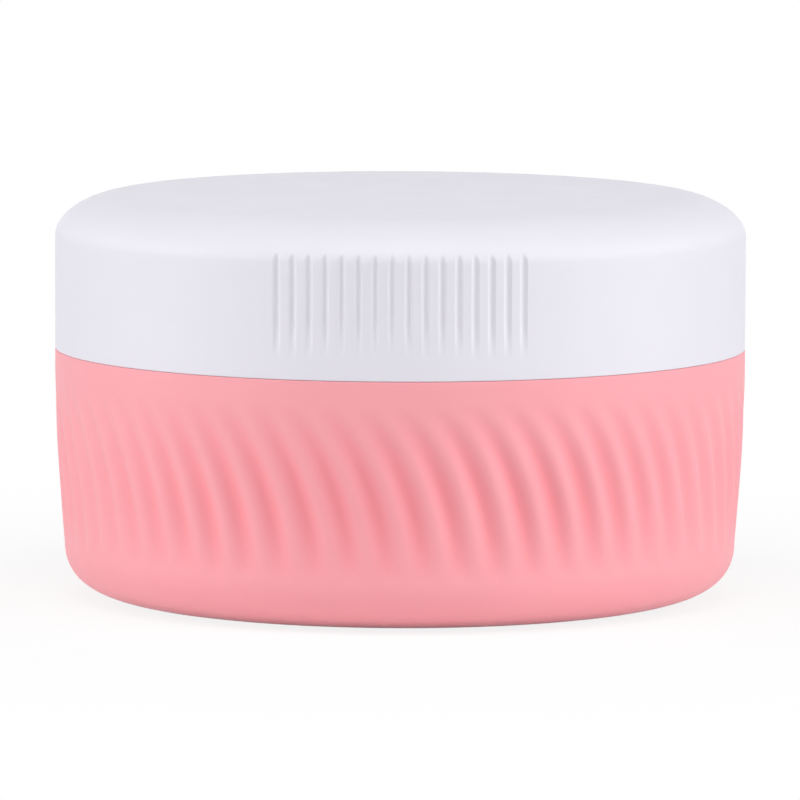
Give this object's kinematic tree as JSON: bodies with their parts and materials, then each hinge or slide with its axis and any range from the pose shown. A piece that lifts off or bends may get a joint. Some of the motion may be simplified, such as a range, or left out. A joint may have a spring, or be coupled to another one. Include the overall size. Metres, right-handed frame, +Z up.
{
  "type": "travel pot",
  "caption": "Round squat travel pot: soft cup with slanted ribs, stiff threaded neck ring, and a double-walled screw lid with a grip panel and a flat seal.",
  "frame": {"origin": "centre of the foot ring's underside, on the pot's axis", "axes": "+Z up along the pot's axis, from the foot to the lid's top; -Y towards the middle of the lid's grip panel, which is the front; +X to the right seen from the front"},
  "size_m": [0.052, 0.052, 0.0303],
  "materials": {
    "soft_cup": "soft matte moulded silicone, coral pink",
    "neck_plastic": "smooth moulded polypropylene, milky white",
    "lid_plastic": "satin moulded plastic, cool white",
    "cap_plastic": "smooth moulded polypropylene, white",
    "seal_rubber": "translucent grey-white silicone sheet"
  },
  "bodies": {
    "pot": {"silicone_body": "soft_cup", "thread_collar": "neck_plastic"},
    "seal": {"sealing_gasket": "seal_rubber"},
    "lid": {"lid_shell": "lid_plastic", "lid_inner_cap": "cap_plastic"}
  },
  "joints": [
    {"name": "lid_lift", "type": "slide", "parent": "pot", "child": "seal", "axis": [0, 0, 1], "range_m": [0, 0.0095]},
    {"name": "lid_turn", "type": "hinge", "parent": "seal", "child": "lid", "pos_m": [0, 0, 0.0268], "axis": [0, 0, 1], "range_deg": [0, 810]}
  ],
  "couplings": [
    {"joint": "lid_lift", "follows": "lid_turn", "m_per_rad": 0.00066845}
  ]
}
